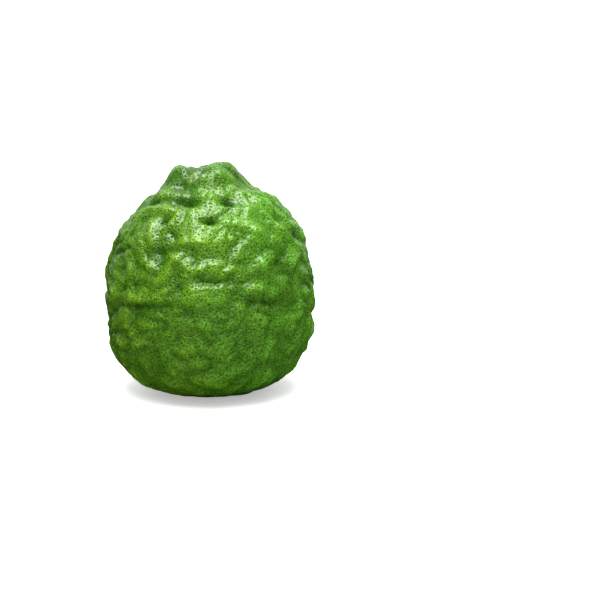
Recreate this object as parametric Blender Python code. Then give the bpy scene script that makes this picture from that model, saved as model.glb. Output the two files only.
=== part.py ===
"""A whole makrut lime: one closed body that rests on a small flat spot, stalk end up.

The fruit is star-shaped round the middle of its belly, so its skin is one function: how far the skin lies from
that middle in each direction. The function is a smooth body of revolution with a knobbly neck on top, then the
lobes, bulges and furrows that give this fruit its own face, and small warts all over.
"""

import bpy
import bmesh
import numpy as np

MM = 0.001

# ---- Sizes, in metres ----
BELLY_DIAMETER = 56.2 * MM
CROWN_HEIGHT = 30.5 * MM  # from the belly up to the top of the round body
BASE_DEPTH = 27.2 * MM  # from the belly down to where the round body would end
NECK_DIAMETER = 23.6 * MM
NECK_HEIGHT = 31.9 * MM  # from the belly up to the top of the neck
NECK_FILLET = 1.2 * MM  # how softly the neck runs into the body
REST_SPOT_DIAMETER = 15.0 * MM
REST_SPOT_EDGE = 0.1 * MM  # how softly the flat spot runs into the skin
WART_SPACING = 7.0 * MM
WART_RISE = 1.0 * MM

# ---- Shape numbers ----
CROWN_FULLNESS = 2.0  # 2 is an ellipse, more is boxier
BASE_FULLNESS = 3.0
NECK_FULLNESS = 6.0
NECK_FROM_LATITUDE = np.radians(30.0)  # the neck is only looked for above this
WART_SEED = 11
SEGMENTS = 84  # round the fruit
RINGS = 52  # from pole to pole

# ---- Lobes, bulges and furrows ----
# Each row: azimuth and latitude of its middle in degrees (azimuth 0 faces -Y and grows towards +X), its half
# length and half width in mm, how far its length is turned up from level in degrees, and its rise in mm.
NECK_LOBES = (
    (-97, 77, 4.0, 3.4, 0, 1.6),  # the left knob
    (-84, 69, 3.0, 2.6, 0, 0.5),
    (-100, 67, 4.0, 2.4, 0, 1.0),
    (-60, 87, 2.4, 3.0, 0, 0.7),
    (56, 85.5, 4.8, 3.9, -50, 1.9),  # the right knob, the highest
    (18, 75, 4.2, 3.0, 0, 1.3),
    (75, 82, 2.8, 2.6, 0, 1.0),
    (100, 75, 3.0, 2.4, 0, 0.8),
    (105, 67, 3.0, 2.4, 0, 0.4),
    (150, 74, 4.5, 3.5, 20, 0.5),
    (-150, 72, 4.5, 3.5, -20, 0.4),
    (178, 66, 4.0, 2.6, 0, 0.4),
)
NECK_FURROWS = (
    (-95, 83, 8.0, 1.8, 0, -1.2),  # the dip between the two knobs
    (-28, 80, 3.6, 1.8, 75, -1.1),
    (-41, 71, 2.9, 2.2, 5, -2.0),  # the hollow under the left knob
    (57, 76, 3.6, 1.7, -52, -1.0),
    (82, 73, 4.0, 3.0, 0, -0.6),
    (135, 78, 4.5, 1.8, 70, -0.9),
    (180, 80, 4.0, 1.8, 88, -0.8),
)
SKIN_FURROWS = (
    (-17, 60, 3.9, 1.8, 0, -1.4),
    (20, 57.5, 2.2, 1.8, -12, -1.1),
    (4.5, 47.6, 2.2, 1.8, 4, -1.6),  # the pit in the middle of the shoulder
    (-54, 58.5, 6.5, 1.8, 16, -0.9),
    (-23, 40, 3.0, 1.8, -38, -0.6),
    (80, 46.5, 2.7, 1.9, -60, -1.0),
    (64, 43.5, 2.6, 1.9, -60, -1.0),
    (76, 34, 2.8, 1.9, -60, -1.0),
    (84, 28, 2.6, 1.8, -60, -0.8),
    (-8, 32.2, 5.0, 1.8, 2, -0.9),
    (-28, 28, 2.4, 2.2, 0, -1.1),
    (52, 27, 2.4, 2.6, 0, -0.8),
    (4, 14.6, 3.6, 1.8, 2, -0.7),
    (-38, 2.4, 7.0, 1.8, 7, -0.6),
    (30, 2.5, 8.0, 1.8, -6, -0.6),
    (-78, -8, 6.0, 1.8, 0, -0.8),
)
SKIN_BULGES = (
    (3, 43, 6.6, 4.4, 0, 1.1),  # the terrace round the pit
    (5, 64, 4.5, 2.0, 0, 0.6),
    (-42, 53, 2.4, 1.8, 0, 0.6),
    (-37, 38, 1.8, 5.0, 28, 0.8),
    (-66, 33, 3.0, 3.2, 0, 0.5),
    (69, 45, 9.0, 1.8, -58, 0.9),  # the two ridges down the right shoulder
    (55, 38.5, 9.5, 1.8, -58, 0.9),
    (-34, 22, 3.6, 1.8, -20, 0.6),
    (-14, 24.8, 3.3, 1.8, -34, 0.9),
    (-3, 20.3, 2.0, 1.8, -10, 0.6),
    (11, 18.3, 3.2, 1.8, 30, 0.6),
    (-1, 6, 5.0, 2.8, 0, 0.8),
    (29, 9.5, 2.8, 1.8, -8, 0.8),
    (-38, 5.8, 7.5, 1.8, 7, 0.5),
    (-68.5, 9, 4.2, 5.4, 18, 0.6),
    (-85, -27, 6.0, 4.0, 0, 0.6),
    (98, 53, 5.0, 2.6, 0, 0.7),
    (97, 33, 5.0, 4.0, 0, 0.9),
    (60, 45, 14.0, 10.0, 0, 0.3),
    (-95, 20, 22.0, 18.0, 0, -1.0),  # the left side is a little flatter
)

SKIN_COLOUR = (0.075, 0.215, 0.006, 1.0)
SKIN_ROUGHNESS = 0.38


def superellipse_radius(latitude, half_width, half_height, fullness):
    """Distance from the middle to a superellipse: ((cos / width)^n + (sin / height)^n)^(-1/n)."""
    across = (np.abs(np.cos(latitude)) / half_width) ** fullness
    up = (np.abs(np.sin(latitude)) / half_height) ** fullness
    return (across + up) ** (-1.0 / fullness)


def smooth_larger(a, b, fillet):
    """The larger of two lengths, rounded off where they cross."""
    return (a + b + np.sqrt((a - b) ** 2 + fillet**2)) / 2


def round_body(latitude):
    """The fruit without lobes or warts: an elliptical crown, a fuller base and a neck on top."""
    belly = BELLY_DIAMETER / 2
    crown = superellipse_radius(latitude, belly, CROWN_HEIGHT, CROWN_FULLNESS)
    base = superellipse_radius(latitude, belly, BASE_DEPTH, BASE_FULLNESS)
    neck = superellipse_radius(latitude, NECK_DIAMETER / 2, NECK_HEIGHT, NECK_FULLNESS)
    top = np.where(latitude > NECK_FROM_LATITUDE, smooth_larger(crown, neck, NECK_FILLET), crown)
    return np.where(latitude > 0.0, top, base)


def swelling(directions, azimuth, latitude, half_length, half_width, turn, rise):
    """A bulge, or a furrow where rise is negative: rise * exp(-(along / length)^2 - (across / width)^2)."""
    azimuth, latitude, turn = np.radians((azimuth, latitude, turn))
    level = np.array((np.cos(azimuth), np.sin(azimuth), 0.0))
    out = np.array((np.sin(azimuth), -np.cos(azimuth), 0.0))
    up = np.array((0.0, 0.0, 1.0))
    middle = np.cos(latitude) * out + np.sin(latitude) * up
    uphill = np.cos(latitude) * up - np.sin(latitude) * out
    reach = BELLY_DIAMETER / 2 / MM
    along = directions @ (np.cos(turn) * level + np.sin(turn) * uphill) * reach / half_length
    across = directions @ (np.cos(turn) * uphill - np.sin(turn) * level) * reach / half_width
    same_side = directions @ middle > 0.0
    return rise * MM * same_side * np.exp(-(along**2) - across**2)


def lattice_noise(points, spacing, seed):
    """Smooth noise: a random slope at each corner of a cubic lattice, blended across each cube."""
    side = 32
    slopes = np.random.default_rng(seed).normal(size=(side, side, side, 3))
    slopes /= np.linalg.norm(slopes, axis=-1, keepdims=True)
    place = points / spacing + side / 2
    cell = np.floor(place).astype(int)
    part = place - cell
    blend = part**3 * (part * (part * 6.0 - 15.0) + 10.0)
    total = np.zeros(len(points))
    for corner in np.ndindex(2, 2, 2):
        share = np.prod(np.where(corner, blend, 1.0 - blend), axis=1)
        i, j, k = ((cell + corner) % side).T
        total += share * np.sum(slopes[i, j, k] * (part - corner), axis=1)
    return total


def warts(directions):
    """Rounded warts with creases between them: the size of a noise, which falls to a crease where it is zero."""
    noise = lattice_noise(directions * BELLY_DIAMETER / 2, WART_SPACING, WART_SEED)
    fade_at_base = np.clip((directions[:, 2] + 0.97) / 0.4, 0.0, 1.0)
    return WART_RISE * fade_at_base * (2.0 * np.abs(noise) - 0.4)


def skin_distance(directions):
    """How far the skin lies from the middle of the belly, in each direction."""
    latitude = np.arcsin(np.clip(directions[:, 2], -1.0, 1.0))
    distance = round_body(latitude) + warts(directions)
    for row in NECK_LOBES + NECK_FURROWS + SKIN_FURROWS + SKIN_BULGES:
        distance += swelling(directions, *row)
    return distance


def belly_height():
    """The height of the belly at which the base is cut flat over the wanted diameter."""
    share = (REST_SPOT_DIAMETER / BELLY_DIAMETER) ** BASE_FULLNESS
    return BASE_DEPTH * (1.0 - share) ** (1.0 / BASE_FULLNESS)


def flattened(height):
    """Heights below zero become zero, and a parabola joins the flat spot to the skin above it."""
    edge = REST_SPOT_EDGE
    blend = (height + edge) ** 2 / (4.0 * edge)
    return np.where(height < -edge, 0.0, np.where(height < edge, blend, height))


def make_skin_material():
    material = bpy.data.materials.new("lime_skin")
    material.use_nodes = True
    shader = material.node_tree.nodes["Principled BSDF"]
    shader.inputs["Base Color"].default_value = SKIN_COLOUR
    shader.inputs["Roughness"].default_value = SKIN_ROUGHNESS
    shader.inputs["Metallic"].default_value = 0.0
    return material


def make_lime():
    """A UV sphere whose vertices are moved out to the skin, set on its flat spot and centred over the origin."""
    shape = bmesh.new()
    bmesh.ops.create_uvsphere(shape, u_segments=SEGMENTS, v_segments=RINGS, radius=1.0)
    directions = np.array([vertex.co for vertex in shape.verts])
    directions /= np.linalg.norm(directions, axis=1, keepdims=True)
    skin = directions * skin_distance(directions)[:, None]
    skin[:, 2] = flattened(skin[:, 2] + belly_height())
    skin[:, :2] -= (skin[:, :2].min(axis=0) + skin[:, :2].max(axis=0)) / 2
    for vertex, place in zip(shape.verts, skin):
        vertex.co = place
    mesh = bpy.data.meshes.new("lime")
    shape.to_mesh(mesh)
    shape.free()
    mesh.shade_smooth()
    mesh.materials.append(make_skin_material())
    return bpy.data.objects.new("lime", mesh)


for leftover in list(bpy.data.objects):
    bpy.data.objects.remove(leftover)
fruit = bpy.data.collections.new("makrut_lime")
bpy.context.scene.collection.children.link(fruit)
fruit.objects.link(make_lime())
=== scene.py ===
# %% [markdown]
# # A whole makrut lime
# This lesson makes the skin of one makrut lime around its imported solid. The solid is the frame: it holds the
# fruit's place and size, and stays in the physics model for collision. The lesson makes what the eye sees: a
# closed skin of knobs, folds, warts and scars, its waxy green finish with its oil glands, and a plain studio.

import bpy
import numpy as np
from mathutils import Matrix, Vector


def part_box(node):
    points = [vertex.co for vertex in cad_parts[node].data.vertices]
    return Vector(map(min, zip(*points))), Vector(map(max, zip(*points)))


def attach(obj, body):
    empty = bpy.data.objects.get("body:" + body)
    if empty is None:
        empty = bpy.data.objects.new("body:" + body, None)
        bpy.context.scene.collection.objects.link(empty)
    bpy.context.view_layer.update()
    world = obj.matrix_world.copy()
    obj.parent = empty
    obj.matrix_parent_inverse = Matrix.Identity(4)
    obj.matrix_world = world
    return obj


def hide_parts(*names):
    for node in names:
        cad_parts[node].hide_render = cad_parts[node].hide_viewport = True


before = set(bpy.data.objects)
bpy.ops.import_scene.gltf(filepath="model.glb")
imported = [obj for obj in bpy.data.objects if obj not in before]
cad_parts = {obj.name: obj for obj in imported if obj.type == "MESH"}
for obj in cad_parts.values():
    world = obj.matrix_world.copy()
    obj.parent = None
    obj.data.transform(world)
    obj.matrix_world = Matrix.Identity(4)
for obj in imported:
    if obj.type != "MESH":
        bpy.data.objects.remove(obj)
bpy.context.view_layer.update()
cad_low, cad_high = (np.array(corner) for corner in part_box("lime"))
print("the solid is", np.round((cad_high - cad_low) * 1000, 1), "mm")

# %% [markdown]
# ## One skin, one function
# A makrut lime has no edges and no parts, so its skin is one surface. A sculpted mesh or a stack of subdivided
# cages could give it, but neither can be read or changed by a number. Seen from the middle of its belly, every
# point of this fruit lies in its own direction, with no overhang. So the whole skin can be one function: the
# distance from that middle, for each direction. A grid of azimuth and latitude gives the directions.

# %% The grid of directions
MM = 0.001
AROUND = 432  # steps of azimuth
UP = 228  # steps of latitude


def direction_grid(around, up):
    """Unit directions on rings of constant latitude, from the lowest ring to the highest, with a pole at each end.

    Azimuth a is 0 towards -Y and grows towards +X, latitude b is 0 at the belly:
    (cos b sin a, -cos b cos a, sin b).
    """
    latitude = np.linspace(-np.pi / 2, np.pi / 2, up + 1)[1:-1, None]
    azimuth = np.linspace(0.0, 2 * np.pi, around, endpoint=False)[None, :]
    rings = np.stack(
        (
            np.cos(latitude) * np.sin(azimuth),
            -np.cos(latitude) * np.cos(azimuth),
            np.sin(latitude) * np.ones_like(azimuth),
        ),
        axis=-1,
    ).reshape(-1, 3)
    return np.vstack(((0.0, 0.0, -1.0), rings, (0.0, 0.0, 1.0)))


directions = direction_grid(AROUND, UP)
latitudes = np.arcsin(np.clip(directions[:, 2], -1.0, 1.0))
print("the skin has", len(directions), "points")

# %% [markdown]
# ## The round body and its neck
# Under its bumps the fruit is a body of revolution: a rounded crown, a fuller base, and at the stalk end a short
# wide neck, as this kind of lime has. A turned profile could be drawn point by point. Superellipses are used
# because three of them, blended, give the outline with a handful of sizes that each mean something.

# %% The round body
BELLY_RADIUS = 28.1 * MM
CROWN_HEIGHT = 30.5 * MM
BASE_DEPTH = 27.2 * MM
BASE_FULLNESS = 3.0
NECK_RADIUS = 11.8 * MM
NECK_HEIGHT = 32.2 * MM
NECK_FULLNESS = 6.0
NECK_FILLET = 1.2 * MM
NECK_FROM_LATITUDE = np.radians(30.0)


def superellipse(latitude, half_width, half_height, fullness):
    """Distance to a superellipse: ((|cos b| / width)^n + (|sin b| / height)^n)^(-1/n). n = 2 is an ellipse."""
    across = (np.abs(np.cos(latitude)) / half_width) ** fullness
    upward = (np.abs(np.sin(latitude)) / half_height) ** fullness
    return (across + upward) ** (-1.0 / fullness)


def round_body(latitude):
    """An ellipse above the belly and a boxier curve below it. The neck is blended in by a smooth maximum:
    half of a + b + sqrt((a - b)^2 + fillet^2)."""
    crown = superellipse(latitude, BELLY_RADIUS, CROWN_HEIGHT, 2.0)
    neck = superellipse(latitude, NECK_RADIUS, NECK_HEIGHT, NECK_FULLNESS)
    base = superellipse(latitude, BELLY_RADIUS, BASE_DEPTH, BASE_FULLNESS)
    with_neck = (crown + neck + np.sqrt((crown - neck) ** 2 + NECK_FILLET**2)) / 2
    upper = np.where(latitude > NECK_FROM_LATITUDE, with_neck, crown)
    return np.where(latitude > 0.0, upper, base)


body = round_body(latitudes)
print("the round body reaches", round(body.min() * 1000, 1), "to", round(body.max() * 1000, 1), "mm")

# %% [markdown]
# ## Bulges and furrows
# The knobs of the neck, the folds of the shoulder and the pits between them are what make this fruit itself. Each
# is a soft swelling that rises from the skin, or a furrow that sinks into it. They could be sculpted by hand. Here
# each is a row that says where it is, how long and wide, which way it runs and how far it rises. Then the whole
# face of the fruit can be read as a list, and one function draws every row.

# %% One swelling
REACH = BELLY_RADIUS / MM  # millimetres of skin in one radian
print("one degree of the belly is", round(np.radians(1.0) * REACH, 2), "mm of skin")


def swelling(azimuth, latitude, length, width, turn, rise, softness=2.0):
    """rise * exp(-d^softness), where d^2 = (along / length)^2 + (across / width)^2.

    Azimuth and latitude place its middle, in degrees. Length and width are halves, in mm. Turn lifts its length
    from level, in degrees. A softness under 2 makes the middle sharper, as in a crease.
    """
    azimuth, latitude, turn = np.radians((azimuth, latitude, turn))
    level = np.array((np.cos(azimuth), np.sin(azimuth), 0.0))
    out = np.array((np.sin(azimuth), -np.cos(azimuth), 0.0))
    up = np.array((0.0, 0.0, 1.0))
    middle = np.cos(latitude) * out + np.sin(latitude) * up
    uphill = np.cos(latitude) * up - np.sin(latitude) * out
    along = directions @ (np.cos(turn) * level + np.sin(turn) * uphill) * REACH / length
    across = directions @ (np.cos(turn) * uphill - np.sin(turn) * level) * REACH / width
    near = directions @ middle > 0.0
    return rise * MM * near * np.exp(-((along**2 + across**2) ** (softness / 2)))


# %% [markdown]
# ## The neck
# Round the stalk a makrut lime swells into a few blunt knobs, with tight creases where they press on each other.
# Boolean unions of balls would leave hard seams. Rows of swellings stay one skin: a high softness makes a knob
# flat-topped with steep sides, and a low one makes a crease sharp at its bottom.

# %% The knobs of the neck
NECK_KNOBS = (
    (-93, 77, 4.0, 3.2, 0, 1.3),
    (-84, 69, 3.0, 2.6, 0, 0.5),
    (-100, 68, 4.0, 2.2, 0, 0.7),
    (62, 84.5, 5.0, 4.2, -50, 1.8),
    (18, 75, 4.2, 3.0, 0, 1.3),
    (86, 80, 2.8, 2.4, 0, 0.4),
    (-60, 87, 1.6, 2.0, 0, 0.3),
    (110, 71, 3.0, 2.6, 0, -0.2),
    (82, 73, 4.0, 3.0, 0, -0.6),
    (150, 74, 4.5, 3.5, 20, 0.5),
    (-150, 72, 4.5, 3.5, -20, 0.4),
    (178, 66, 4.0, 2.6, 0, 0.4),
)
KNOB_SOFTNESS = 2.6
neck_knobs = sum(swelling(*row, KNOB_SOFTNESS) for row in NECK_KNOBS)
print("the highest knob rises", round(neck_knobs.max() * 1000, 1), "mm")

# %% The creases of the neck
NECK_CREASES = (
    (-95, 83.5, 8.0, 1.2, 0, -1.9),
    (-12, 81, 3.4, 1.1, 75, -1.5),
    (-46, 73, 2.9, 2.0, 5, -2.9),
    (6, 77.5, 2.4, 0.8, -12, -1.2),
    (57, 76, 3.6, 1.1, -52, -1.4),
    (92, 72.5, 2.2, 0.9, -60, -0.9),
    (135, 78, 4.5, 1.2, 70, -1.2),
    (-120, 80, 3.5, 1.2, 60, -0.9),
    (180, 80, 4.0, 1.2, 88, -1.0),
    (87, 66.5, 6.0, 1.0, 3, -0.8),
    (-98, 61, 6.0, 2.0, 0, -1.0),
    (140, 66, 8.0, 1.2, 4, -0.8),
    (-140, 66, 8.0, 1.2, -4, -0.8),
)
CREASE_SOFTNESS = 1.6
neck_creases = sum(swelling(*row, CREASE_SOFTNESS) for row in NECK_CREASES)
print("the deepest neck crease is", round(-neck_creases.min() * 1000, 1), "mm deep")

# %% [markdown]
# ## The shoulder and the belly
# Below the neck the skin is folded where it grew faster than the flesh under it: short pits and furrows, and
# between them rolls that catch the light. Noise alone could make folds of this size, but not these folds. The ones
# that give this fruit its face are rows again, and noise is left for what lies between them.

# %% The furrows of the skin
SKIN_FURROWS = (
    (-20, 60.8, 3.1, 1.3, -3, -2.5),
    (24, 58.8, 1.7, 1.2, -12, -2.1),
    (4.5, 46.9, 1.6, 1.1, 4, -2.4),
    (-54, 58.5, 6.5, 1.1, 16, -1.2),
    (-31, 46, 1.0, 1.3, 0, -0.9),
    (-23, 40, 3.0, 0.9, -38, -0.9),
    (-15.5, 50.5, 0.8, 1.6, 0, -0.8),
    (80, 46.5, 2.7, 1.7, -60, -1.1),
    (64, 43.5, 2.6, 1.8, -60, -1.1),
    (76, 34, 2.8, 1.8, -60, -1.1),
    (84, 28, 2.4, 1.6, -60, -0.9),
    (-8, 31.4, 5.0, 1.1, 2, -0.9),
    (20, 33.5, 2.6, 1.1, 32, -0.8),
    (-28, 28, 2.4, 2.2, 0, -1.0),
    (7, 26.5, 4.4, 1.2, 0, -0.6),
    (52, 27, 2.0, 2.6, 0, -0.9),
    (47, 21, 2.6, 1.6, 0, -0.8),
    (53, 16.5, 2.0, 2.0, 0, -0.8),
    (4, 14.6, 3.6, 0.8, 2, -1.1),
    (-38, 0.2, 7.0, 0.8, 7, -1.1),
    (30, 2.5, 8.0, 1.1, -6, -1.0),
    (48, 6.7, 2.6, 2.6, 0, -0.7),
    (-68, 24.5, 2.4, 0.8, 20, -1.0),
    (-66.5, 31, 0.7, 2.6, -20, -0.7),
    (-80, -8, 6.0, 1.6, 0, -0.6),
    (-88, -18, 6.0, 3.6, 0, -0.8),
)
furrows = sum(swelling(*row, CREASE_SOFTNESS) for row in SKIN_FURROWS)
print("the deepest furrow is", round(-furrows.min() * 1000, 1), "mm deep")

# %% The bulges of the skin
SKIN_BULGES = (
    (5, 64, 4.5, 2.0, 0, 0.6),
    (3, 59.5, 1.8, 1.8, 0, 0.6),
    (-30, 64.5, 1.6, 1.2, 0, 0.6),
    (-42, 53, 2.2, 1.4, 0, 0.6),
    (-22, 51.5, 1.8, 1.3, 0, 0.6),
    (-8, 54, 1.4, 1.0, 0, 0.5),
    (-3, 35, 5.5, 1.8, 3, 0.7),
    (-30, 42.6, 1.8, 1.2, 0, 0.5),
    (-37, 38, 1.3, 5.0, 28, 1.0),
    (36, 38.5, 1.9, 2.2, 0, 1.1),
    (27, 54, 1.8, 1.2, 0, 0.6),
    (40, 53, 2.0, 1.6, 0, 0.5),
    (60, 57, 6.5, 0.8, -50, 0.9),
    (67, 44.5, 5.5, 0.8, -66, 1.1),
    (54.5, 42, 5.0, 0.8, -66, 1.1),
    (63, 32, 5.5, 0.8, -48, 1.2),
    (-34, 22, 3.6, 1.2, -20, 0.6),
    (-14, 24.8, 3.3, 1.2, -34, 0.9),
    (-3, 20.3, 2.0, 1.3, -10, 0.9),
    (5, 23.3, 2.2, 1.0, 0, 0.6),
    (36, 22, 1.7, 1.8, 0, 0.8),
    (-20, 17.5, 1.1, 3.6, -14, 0.8),
    (-33, 15, 2.4, 1.4, 0, 0.6),
    (-38, 3.2, 7.5, 1.7, 7, 1.3),
    (11, 18.3, 3.2, 1.0, 30, 0.7),
    (18, 26.1, 1.5, 1.0, 0, 0.7),
    (4, 11.5, 3.6, 0.8, -3, 0.4),
    (29, 9.5, 2.8, 1.5, -8, 1.1),
    (21, 2.2, 1.8, 1.4, 0, 0.6),
    (-88, -2.5, 4.0, 1.6, 0, 0.6),
    (-90, 46, 4.0, 3.0, 0, -0.4),
    (-85, -27, 6.0, 4.0, 0, 0.6),
    (-66, 33, 3.0, 3.2, 0, 0.4),
    (-95, 20, 22.0, 18.0, 0, -1.2),
    (60, 45, 14.0, 10.0, 0, 0.3),
    (98, 53, 5.0, 2.4, 0, 0.7),
    (97, 33, 5.0, 4.0, 0, 0.9),
)
bulges = sum(swelling(*row) for row in SKIN_BULGES)
print("the highest bulge rises", round(bulges.max() * 1000, 1), "mm")

# %% [markdown]
# ## Terraces
# In a few places the skin steps down: a broad flat patch ends in a short bank, where a fold has been pulled
# smooth. Stacking two or three bulges would give a dome and not a step. One swelling with a high softness is flat
# nearly to its edge and then falls away, which is a terrace in a single row.

# %% The terraces of the skin
SKIN_TERRACES = (
    (2, 41.5, 7.6, 5.8, 0, 0.8),
    (-1, 6, 5.6, 3.3, 0, 0.9),
    (-68.5, 9, 4.6, 6.0, 18, 0.6),
)
TERRACE_SOFTNESS = 4.0
terraces = sum(swelling(*row, TERRACE_SOFTNESS) for row in SKIN_TERRACES)
print("the highest terrace rises", round(terraces.max() * 1000, 1), "mm")

# %% [markdown]
# ## Scars
# The stalk leaves a small corky ring in the dip between the knobs, and the blossom left another at the bottom. Leaves
# rub a few faint corky flecks into the skin. They could be painted on, but they are also felt: each is a slightly
# raised patch, and the two scars have a sunken heart. Rows place them as they place the folds, and the same rows
# are kept for the finish.

# %% The scars
SCARS = (
    (-30, 77.2, 1.4, 0.95, -35, 0.9),
    (0, -90, 2.2, 2.2, 0, 1.0),
    (29, 53.5, 1.5, 0.35, -8, 0.4),
    (8, 55, 0.8, 0.4, 0, 0.3),
)
SCAR_HEARTS = (
    (-30, 77.2, 0.6, 0.4, -35, 1.0),
    (0, -90, 1.0, 1.0, 0, 1.0),
)
SCAR_SOFTNESS = 4.0
SCAR_RISE = 0.2
HEART_DEPTH = 0.5
cork = sum(swelling(*row, SCAR_SOFTNESS) for row in SCARS) / MM
hearts = sum(swelling(*row, SCAR_SOFTNESS) for row in SCAR_HEARTS) / MM
scars = (SCAR_RISE * cork - HEART_DEPTH * hearts) * MM
print("cork covers", round(100 * (cork > 0.5).mean(), 2), "% of the points")

# %% [markdown]
# ## Warts
# Between the large folds the whole skin is covered with rounded warts, packed so close that only creases are left
# between them. Scattering thousands of bumps one by one would look like beads. A smooth noise does better: its
# size, without its sign, is a field of rounded hills, and wherever the noise passes through zero two hills meet in
# a crease. Bending the noise with a second, slower noise keeps the creases from looking combed.

# %% A smooth noise
LATTICE = 32  # corners along each side, after which the noise repeats
NOISE_GAIN = 1.6


def smooth_noise(points, spacing, seed):
    """A random slope at each corner of a cubic lattice, each carried across its cubes and blended by
    6t^5 - 15t^4 + 10t^3 along every axis."""
    slopes = np.random.default_rng(seed).normal(size=(LATTICE, LATTICE, LATTICE, 3))
    slopes /= np.linalg.norm(slopes, axis=-1, keepdims=True)
    place = points / spacing + LATTICE / 2
    cell = np.floor(place).astype(int)
    part = place - cell
    blend = part**3 * (part * (part * 6.0 - 15.0) + 10.0)
    total = np.zeros(len(points))
    for corner in np.ndindex(2, 2, 2):
        share = np.prod(np.where(corner, blend, 1.0 - blend), axis=1)
        i, j, k = ((cell + corner) % LATTICE).T
        total += share * np.sum(slopes[i, j, k] * (part - corner), axis=1)
    return NOISE_GAIN * total


ball = directions * BELLY_RADIUS
TRIAL_SPACING, TRIAL_SEED = 7.0 * MM, 11
trial = smooth_noise(ball, TRIAL_SPACING, TRIAL_SEED)
print("the usual size of the noise is", round(np.abs(trial).mean(), 2))


# %% The warts
USUAL_HILL = 0.25
BEND_SPACING = 9.0 * MM
BEND_REACH = 2.2 * MM
BEND_SEEDS = (50, 51, 52)
WARTS = ((1.7, 7.0, 0.02, 11), (1.0, 4.2, 0.03, 23), (0.35, 2.1, 0.05, 37))  # rise mm, spacing mm, crease, seed
GRAIN_RISE, GRAIN_SPACING, GRAIN_SEED = 0.07, 1.1, 41
FOLDED_SIDE = (0.05, -0.80, 0.60)  # the way the named folds face
FOLDS_FROM, FOLDS_OVER = 0.35, 0.4
CALMED = 0.35  # the share of the largest warts that gives way to the named folds
FOOT_FROM, FOOT_OVER = -0.97, 0.4


def ramp(value, start, length):
    """0 up to the start, then rising in a straight line to 1 over the length."""
    return np.clip((value - start) / length, 0.0, 1.0)


def hills(points, spacing, crease, seed):
    """Rounded hills with creases between them: sqrt(noise^2 + crease^2), less its usual value."""
    return np.sqrt(smooth_noise(points, spacing, seed) ** 2 + crease**2) - USUAL_HILL


bend = np.stack([smooth_noise(ball, BEND_SPACING, seed) for seed in BEND_SEEDS], axis=-1) * BEND_REACH
calm = CALMED * ramp(directions @ np.array(FOLDED_SIDE), FOLDS_FROM, FOLDS_OVER)
large, *smaller = (rise * hills(ball + bend, spacing * MM, crease, seed) for rise, spacing, crease, seed in WARTS)
warts = (1.0 - calm) * large + sum(smaller)
warts += GRAIN_RISE * smooth_noise(ball, GRAIN_SPACING * MM, GRAIN_SEED)
warts *= MM * ramp(directions[:, 2], FOOT_FROM, FOOT_OVER)  # fading out towards the foot
print("the warts run from", round(warts.min() * 1000, 2), "to", round(warts.max() * 1000, 2), "mm")

# %% [markdown]
# ## Set down on its flat spot
# A fruit that stands has a small flat on its base. The skin below the table's level is pressed up to it, and a
# short parabola rounds the edge of the flat. Then the skin takes its place and size from the solid, so the two
# agree whatever size the solid was packed at.

# %% Place the skin
REST_SPOT_RADIUS = 7.5 * MM
REST_SPOT_EDGE = 0.1 * MM


def pressed_flat(height, edge):
    """Zero below -edge, unchanged above +edge, and the parabola (height + edge)^2 / (4 edge) between them."""
    blend = (height + edge) ** 2 / (4.0 * edge)
    return np.where(height < -edge, 0.0, np.where(height < edge, blend, height))


relief = neck_knobs + neck_creases + furrows + bulges + terraces + scars + warts
skin = directions * (body + relief)[:, None]
belly_height = BASE_DEPTH * (1.0 - (REST_SPOT_RADIUS / BELLY_RADIUS) ** BASE_FULLNESS) ** (1.0 / BASE_FULLNESS)
skin[:, 2] = pressed_flat(skin[:, 2] + belly_height, REST_SPOT_EDGE)
skin_low, skin_high = skin.min(axis=0), skin.max(axis=0)
fit = (cad_high - cad_low) / (skin_high - skin_low)
skin = cad_low + (skin - skin_low) * fit
print("fitted to the solid by", np.round(fit, 3))

# %% [markdown]
# ## The mesh
# The rings become a band of four-sided faces, and a fan of triangles closes each pole, so the skin is watertight.
# The relief is kept on the points as well, because the finish darkens the creases with painted shade and needs to
# know what is hill and what is crease.

# %% Build the mesh
def ring_faces(around, rings):
    """Quads between neighbouring rings, and a fan round each pole, all turned to face outwards."""
    ring = 1 + np.arange(rings * around).reshape(rings, around)
    beside = np.roll(ring, -1, axis=1)
    quads = np.stack((ring[:-1], beside[:-1], beside[1:], ring[1:]), axis=-1).reshape(-1, 4)
    foot = np.stack((np.zeros(around, int), beside[0], ring[0]), axis=-1)
    top = np.stack((ring[-1], beside[-1], np.full(around, rings * around + 1)), axis=-1)
    return quads.tolist() + foot.tolist() + top.tolist()


def closed_mesh(name, points, faces):
    mesh = bpy.data.meshes.new(name)
    mesh.from_pydata(points.tolist(), [], faces)
    mesh.update()
    mesh.shade_smooth()
    piece = bpy.data.objects.new(name, mesh)
    bpy.context.scene.collection.objects.link(piece)
    return piece


lime = closed_mesh("lime_skin", skin, ring_faces(AROUND, UP - 1))
for name, values in {"hill": (relief - neck_knobs) / MM, "cork": cork, "heart": hearts}.items():
    lime.data.attributes.new(name, "FLOAT", "POINT").data.foreach_set("value", values.astype(np.float32))
print("the skin has", len(lime.data.polygons), "faces")

# %% [markdown]
# ## The finish
# The skin is deep green, yellower on the sunny side, with a fine light and dark grain all over. It is paler on the
# hills and darker in the creases, which is painted shade. Oil glands lie just under it, about a millimetre apart,
# and each shows as a small dark pit, darker partly for the gland's own deeper green and partly as painted shade.
# The wax between the pits is glossy and the pits are not, so every highlight is a pale net with dark holes. There
# are far too many to model one by one, so they are a pattern of cells in the material. It is used three times: to
# darken the colour, to dent the surface and to hold back the shine.

# %% Node helpers
def set_socket(tree, socket, value):
    """A value that is another node's output is linked, and any other is set."""
    if isinstance(value, bpy.types.NodeSocket):
        tree.links.new(value, socket)
    else:
        socket.default_value = value


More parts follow.
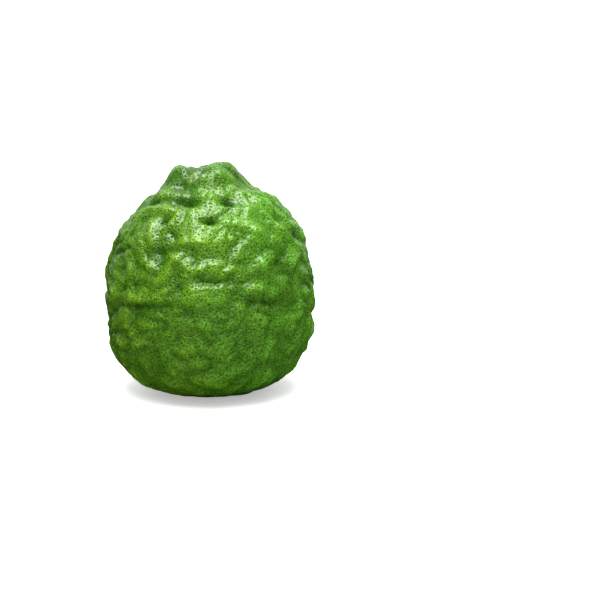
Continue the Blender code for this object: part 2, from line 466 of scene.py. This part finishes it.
def add_node(tree, kind, **values):
    """A node with some of its inputs set, each by its name with _ for a space."""
    node = tree.nodes.new(kind)
    for name, value in values.items():
        set_socket(tree, node.inputs[name.replace("_", " ")], value)
    return node


def arithmetic(tree, operation, left, right):
    node = tree.nodes.new("ShaderNodeMath")
    node.operation = operation
    set_socket(tree, node.inputs[0], left)
    set_socket(tree, node.inputs[1], right)
    return node


def choose(tree, share, low, high):
    """A number between two others: low where share is 0, high where it is 1."""
    node = tree.nodes.new("ShaderNodeMix")
    for socket, value in zip((node.inputs[0], node.inputs[2], node.inputs[3]), (share, low, high)):
        set_socket(tree, socket, value)
    return node.outputs[0]


def blend_colours(tree, share, low, high, mode="MIX"):
    """A colour between two others, or with mode MULTIPLY their product."""
    node = tree.nodes.new("ShaderNodeMix")
    node.data_type = "RGBA"
    node.blend_type = mode
    for socket, value in zip((node.inputs[0], node.inputs[6], node.inputs[7]), (share, low, high)):
        set_socket(tree, socket, value)
    return node.outputs[2]


def remap(tree, value, from_low, from_high, to_low=0.0, to_high=1.0, soft=False):
    """Carries one range onto another and holds it there, in a straight line or in a soft S."""
    node = add_node(
        tree, "ShaderNodeMapRange", Value=value, From_Min=from_low, From_Max=from_high, To_Min=to_low, To_Max=to_high
    )
    node.interpolation_type = "SMOOTHSTEP" if soft else "LINEAR"
    return node.outputs["Result"]


def attribute(tree, name):
    """The values kept under this name on the points of the mesh."""
    node = tree.nodes.new("ShaderNodeAttribute")
    node.attribute_name = name
    return node.outputs["Fac"]


# %% The pores and the grain
GLAND_SPACING = 0.92 * MM
GLAND_DEPTH = 0.13 * MM
PORE_RIM, PORE_FLOOR = 0.13, 0.38  # from the edge of a cell inwards, in cells
GRAIN_SIZE = 0.42 * MM
GRAIN_LOW, GRAIN_HIGH = 0.32, 0.68

material = bpy.data.materials.new("lime_skin")
material.use_nodes = True
tree = material.node_tree
shader = tree.nodes["Principled BSDF"]
place = add_node(tree, "ShaderNodeTexCoord").outputs["Object"]
cells = add_node(tree, "ShaderNodeTexVoronoi", Vector=place, Scale=1.0 / GLAND_SPACING)
cells.feature = "DISTANCE_TO_EDGE"
pit = remap(tree, cells.outputs["Distance"], PORE_RIM, PORE_FLOOR, soft=True)
speckle = add_node(tree, "ShaderNodeTexNoise", Vector=place, Scale=1.0 / GRAIN_SIZE, Detail=1.0).outputs["Fac"]
grain = remap(tree, speckle, GRAIN_LOW, GRAIN_HIGH)
print("a gland every", round(GLAND_SPACING * 1000, 2), "mm and a grain every", round(GRAIN_SIZE * 1000, 2), "mm")

# %% [markdown]
# ## The greens
# Fruit that hangs in leaves is greener where it is shaded and yellower where the sun reached it, with an uneven
# line between the two. A painted mask could hold that. A straight change from side to side, made to wander by a
# slow noise, does it without one. The relief kept on the points then deepens the green in the creases as painted
# shade, and the cork kept there paints the scars.

# %% The greens
# Painted shade: the deep green that fills the creases.
CREASE_PAINTED_SHADE = (0.040, 0.140, 0.0, 1.0)
SUNNY_GREEN = (0.145, 0.310, 0.001, 1.0)
SHADY_GREEN = (0.103, 0.318, 0.004, 1.0)
CORK_TAN = (0.270, 0.390, 0.120, 1.0)
HEART_BROWN = (0.080, 0.130, 0.035, 1.0)
DARK_GRAIN = (0.48, 0.56, 0.35, 1.0)
LIGHT_GRAIN = (1.66, 1.48, 6.6, 1.0)
# The pits are darker partly for the glands' own deeper green and partly as painted shade in the pits.
PORE_GREEN_AND_SHADE = 0.72
# Painted shade: over this height the green goes from the hill colour to the darker crease colour.
HILL_RISE = 1.1  # mm above or below the round body at which the green is fully pale or fully deep
SUN_REACH = 22.0 * MM  # to either side of the middle
PATCHES_PER_METRE = 60.0
PATCH_LOW, PATCH_HIGH = 0.3, 0.7
PATCH_WANDER = 0.35

# How high the skin stands, which sets how much painted shade the creases get.
raised = remap(tree, attribute(tree, "hill"), -HILL_RISE, HILL_RISE)
side = add_node(tree, "ShaderNodeSeparateXYZ", Vector=place).outputs["X"]
patches = add_node(tree, "ShaderNodeTexNoise", Vector=place, Scale=PATCHES_PER_METRE, Detail=2.0).outputs["Fac"]
wander = remap(tree, patches, PATCH_LOW, PATCH_HIGH, -PATCH_WANDER, PATCH_WANDER)
shaded = arithmetic(tree, "ADD", remap(tree, side, -SUN_REACH, SUN_REACH), wander)
shaded.use_clamp = True
hill_green = blend_colours(tree, shaded.outputs[0], SUNNY_GREEN, SHADY_GREEN)
# Painted shade: the green darkens from the hills down into the creases.
green = blend_colours(tree, raised, CREASE_PAINTED_SHADE, hill_green)
grainy = blend_colours(tree, 1.0, green, blend_colours(tree, grain, DARK_GRAIN, LIGHT_GRAIN), "MULTIPLY")
# Darkens the colour in each pit: partly the gland's deeper green, partly painted shade.
pitted = blend_colours(tree, 1.0, grainy, remap(tree, pit, 0.0, 1.0, 1.0, PORE_GREEN_AND_SHADE), "MULTIPLY")
corky = blend_colours(tree, attribute(tree, "cork"), pitted, CORK_TAN)
skin_colour = blend_colours(tree, attribute(tree, "heart"), corky, HEART_BROWN)
tree.links.new(skin_colour, shader.inputs["Base Color"])
print("the colour takes", len(tree.nodes), "nodes so far")

# %% [markdown]
# ## The wax
# The wax is thin and a little uneven, so its highlights are broad and soft. A clear coat over the skin would lie
# over the pits too and fill them with light. So there is no coat: the skin itself is glossy between the pits, dull
# in them, and dented by them.

# %% The wax
WAX_SHINE, PORE_SHINE = 0.95, 0.08
WAX_ROUGHNESS = 0.35

dent = add_node(tree, "ShaderNodeBump", Strength=1.0, Distance=-GLAND_DEPTH, Height=pit)
tree.links.new(dent.outputs["Normal"], shader.inputs["Normal"])
tree.links.new(remap(tree, pit, 0.0, 1.0, WAX_SHINE, PORE_SHINE), shader.inputs["Specular IOR Level"])
shader.inputs["Roughness"].default_value = WAX_ROUGHNESS
lime.data.materials.append(material)
print("the finish has", len(tree.nodes), "nodes")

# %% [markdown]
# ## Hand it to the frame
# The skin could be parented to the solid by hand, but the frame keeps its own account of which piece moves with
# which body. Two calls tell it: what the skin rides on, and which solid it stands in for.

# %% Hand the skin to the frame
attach(lime, "root")
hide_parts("lime")
print("the skin stands in for the solid")

# %% [markdown]
# ## The studio floor
# The fruit stands on a white sweep, as in a catalogue: the floor is white as far as it is seen, with only a soft
# shadow under the fruit. A white floor would also throw light up under the belly and show in the wax. So what it
# gives to the fruit and what it shows to the eye are kept apart: to other rays it is grey and dull, and to the
# camera it is pale and glows a little.

# %% The floor
FLOOR_REACH = 3.0
FLOOR_GREY = (0.5, 0.5, 0.5, 1.0)
FLOOR_WHITE = (0.9, 0.9, 0.9, 1.0)
FLOOR_ROUGHNESS = 0.7
FLOOR_GLOW = 0.35

corners = [(-FLOOR_REACH, -FLOOR_REACH, 0.0), (FLOOR_REACH, -FLOOR_REACH, 0.0)]
corners += [(FLOOR_REACH, FLOOR_REACH, 0.0), (-FLOOR_REACH, FLOOR_REACH, 0.0)]
floor_mesh = bpy.data.meshes.new("floor")
floor_mesh.from_pydata(corners, [], [(0, 1, 2, 3)])
floor = bpy.data.objects.new("floor", floor_mesh)
bpy.context.scene.collection.objects.link(floor)

# %% The floor's finish
floor_material = bpy.data.materials.new("pale_floor")
floor_material.use_nodes = True
floor_tree = floor_material.node_tree
floor_shader = floor_tree.nodes["Principled BSDF"]
floor_seen = add_node(floor_tree, "ShaderNodeLightPath").outputs["Is Camera Ray"]
floor_tone = blend_colours(floor_tree, floor_seen, FLOOR_GREY, FLOOR_WHITE)
floor_glow = arithmetic(floor_tree, "MULTIPLY", floor_seen, FLOOR_GLOW)
floor_tree.links.new(floor_tone, floor_shader.inputs["Base Color"])
floor_tree.links.new(floor_glow.outputs[0], floor_shader.inputs["Emission Strength"])
floor_shader.inputs["Emission Color"].default_value = (1.0, 1.0, 1.0, 1.0)
floor_shader.inputs["Roughness"].default_value = FLOOR_ROUGHNESS
floor_mesh.materials.append(floor_material)
floor.visible_glossy = False
print("the floor reaches", FLOOR_REACH, "m each way")

# %% [markdown]
# ## The room
# Around the floor is a room of plain light. A gradient could be lit with many lamps, but the world can say what
# each kind of ray meets: the camera sees white, the skin is filled with even light, and the wax reflects a room
# that is nearly dark in front and bright behind, which draws a pale rim on the far slopes.

# %% The room
ROOM_FILL = 0.80
ROOM_DARK = 0.01
ROOM_BRIGHT = 1.0
BRIGHT_FROM, BRIGHT_FULL = 0.3, 0.95  # how far round to the back a ray points, 1 being straight back
HORIZON = 0.05

world = bpy.data.worlds.new("studio")
bpy.context.scene.world = world
world.use_nodes = True
room = world.node_tree
background = room.nodes["Background"]
heading = add_node(room, "ShaderNodeTexCoord").outputs["Generated"]
axes = add_node(room, "ShaderNodeSeparateXYZ", Vector=heading)
behind = remap(room, axes.outputs["Y"], BRIGHT_FROM, BRIGHT_FULL)
above = remap(room, axes.outputs["Z"], -HORIZON, HORIZON)
seen = add_node(room, "ShaderNodeLightPath").outputs
backdrop = choose(room, above, ROOM_DARK, choose(room, behind, ROOM_DARK, ROOM_BRIGHT))
room_light = choose(room, seen["Is Glossy Ray"], ROOM_FILL, backdrop)
strength = choose(room, seen["Is Camera Ray"], room_light, 1.0)
room.links.new(strength, background.inputs["Strength"])
background.inputs["Color"].default_value = (1.0, 1.0, 1.0, 1.0)
print("the room has", len(room.nodes), "nodes")

# %% [markdown]
# ## The soft light
# One wide soft light hangs overhead and a little in front. A small lamp would give hard glints and a black shadow.
# A broad one makes the long soft highlights on the rolls, and leaves the creases under them dark.

# %% The soft light
SOFTBOX_PLACE = (0.0, -0.12, 0.72)
SOFTBOX_TARGET = (0.0, -0.06, 0.03)
SOFTBOX_WIDTH, SOFTBOX_DEPTH = 0.60, 0.78
SOFTBOX_RADIANCE = 5.0


def soft_light(name, place, target, width, depth, radiance):
    """A rectangle that shines evenly: its power is radiance * area * pi."""
    light = bpy.data.lights.new(name, "AREA")
    light.shape = "RECTANGLE"
    light.size = width
    light.size_y = depth
    light.energy = radiance * width * depth * np.pi
    lamp = bpy.data.objects.new(name, light)
    lamp.location = place
    lamp.rotation_euler = (Vector(target) - Vector(place)).to_track_quat("-Z", "Y").to_euler()
    bpy.context.scene.collection.objects.link(lamp)
    return lamp


softbox = soft_light(
    "overhead_softbox", SOFTBOX_PLACE, SOFTBOX_TARGET, SOFTBOX_WIDTH, SOFTBOX_DEPTH, SOFTBOX_RADIANCE
)
print("the softbox gives", round(softbox.data.energy, 2), "W")

# %% [markdown]
# ## The camera
# A fruit on a table is looked at from a little above. A short lens close up would swell its belly, so the camera
# stands back half a metre with a long lens. It aims past the fruit, which leaves room beside it.

# %% The camera
ELEVATION = np.radians(12.0)
DISTANCE = 0.5
LENS = 111.4
AIM = np.array((23.9 * MM, 23.7 * MM))  # right of, and above, the foot of the fruit's axis
SENSOR_WIDTH = 36.0

camera_data = bpy.data.cameras.new("camera")
camera_data.sensor_width = SENSOR_WIDTH
camera_data.lens = LENS
camera = bpy.data.objects.new("camera", camera_data)
bpy.context.scene.collection.objects.link(camera)
forward = np.array((0.0, np.cos(ELEVATION), -np.sin(ELEVATION)))
rightward = np.array((1.0, 0.0, 0.0))
upward = np.cross(rightward, forward)
foot = np.array(((cad_low[0] + cad_high[0]) / 2, (cad_low[1] + cad_high[1]) / 2, cad_low[2]))
camera.location = foot + rightward * AIM[0] + upward * AIM[1] - forward * DISTANCE
camera.rotation_euler = Vector(forward).to_track_quat("-Z", "Y").to_euler()
bpy.context.scene.camera = camera
bpy.context.scene.view_settings.view_transform = "Standard"
bpy.context.scene.view_settings.look = "Medium High Contrast"
print("the camera stands at", np.round(camera.location, 3), "m")
